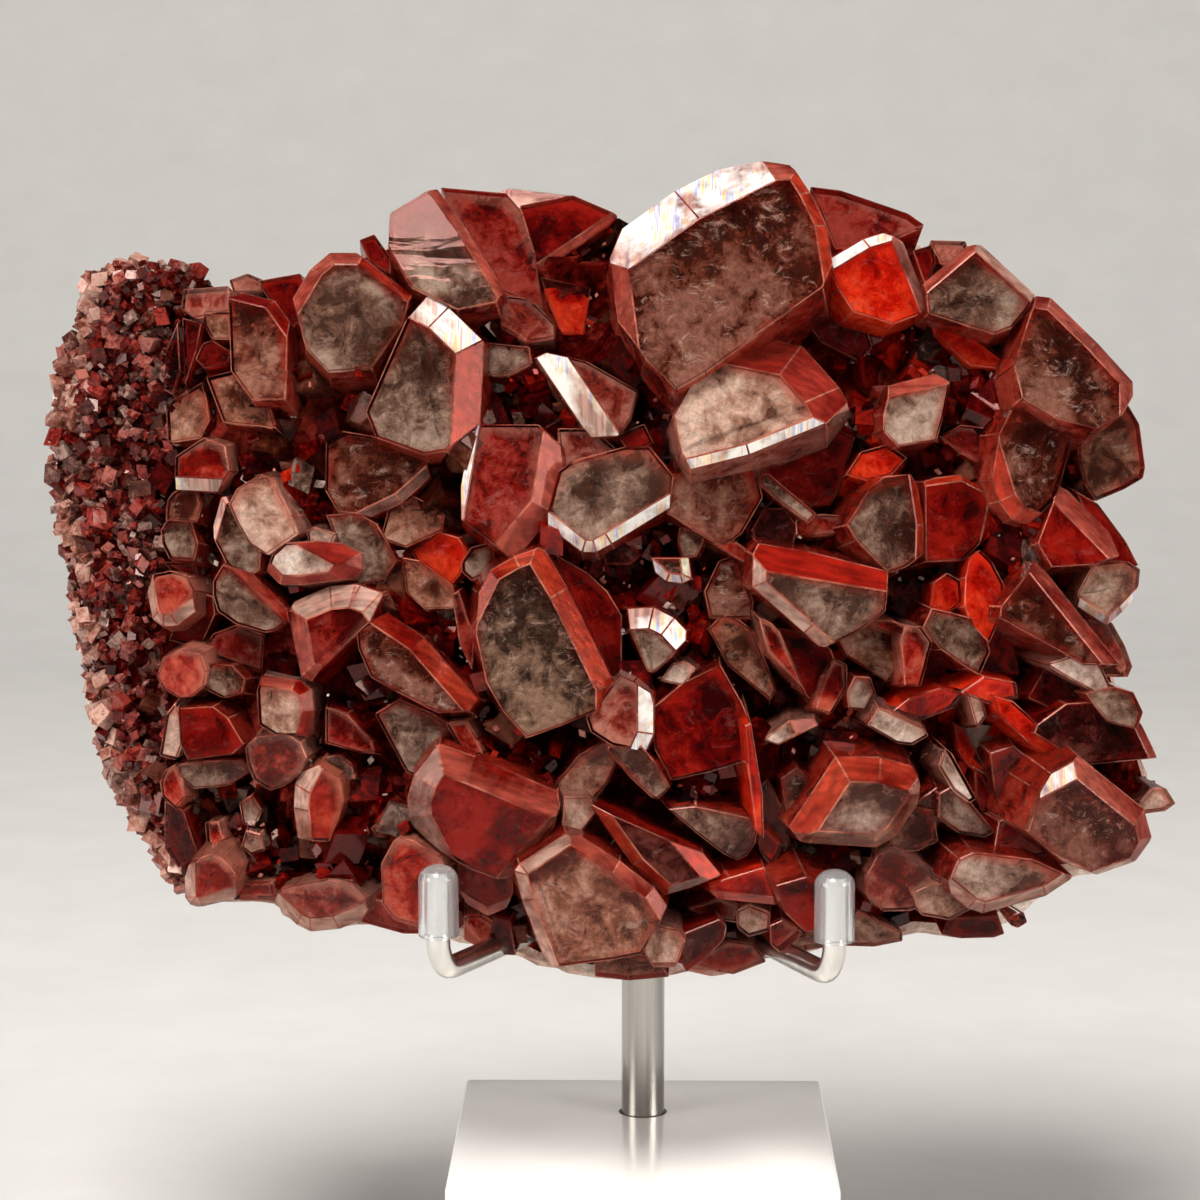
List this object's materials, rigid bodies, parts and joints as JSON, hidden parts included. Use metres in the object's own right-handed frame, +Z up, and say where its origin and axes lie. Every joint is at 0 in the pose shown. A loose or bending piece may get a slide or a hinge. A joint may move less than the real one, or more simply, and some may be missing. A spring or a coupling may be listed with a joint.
{
  "type": "calcite crystals on matrix, on a wire stand",
  "caption": "Slab of intergrown red calcite crystals on a pale matrix, held upright by a three-armed wire stand on a square acrylic block.",
  "frame": {"origin": "centre of the acrylic block's underside, on the surface that the stand rests on", "axes": "+Z up, -Y towards the viewer and the crystal faces, +X to the viewer's right"},
  "size_m": [0.1194, 0.0471, 0.1244],
  "materials": {
    "calcite": "gloss",
    "druse": "satin",
    "rock": "matte",
    "acrylic": "gloss",
    "steel": "satin",
    "vinyl": "gloss"
  },
  "bodies": {
    "root": {"base_block": "acrylic", "post": "steel", "hub": "steel", "arm_left": "steel", "arm_right": "steel", "arm_back": "steel", "sleeve_left": "vinyl", "sleeve_right": "vinyl", "sleeve_back": "vinyl", "matrix": "rock", "calcite_crystals": "calcite", "calcite_druse": "druse"}
  },
  "joints": []
}
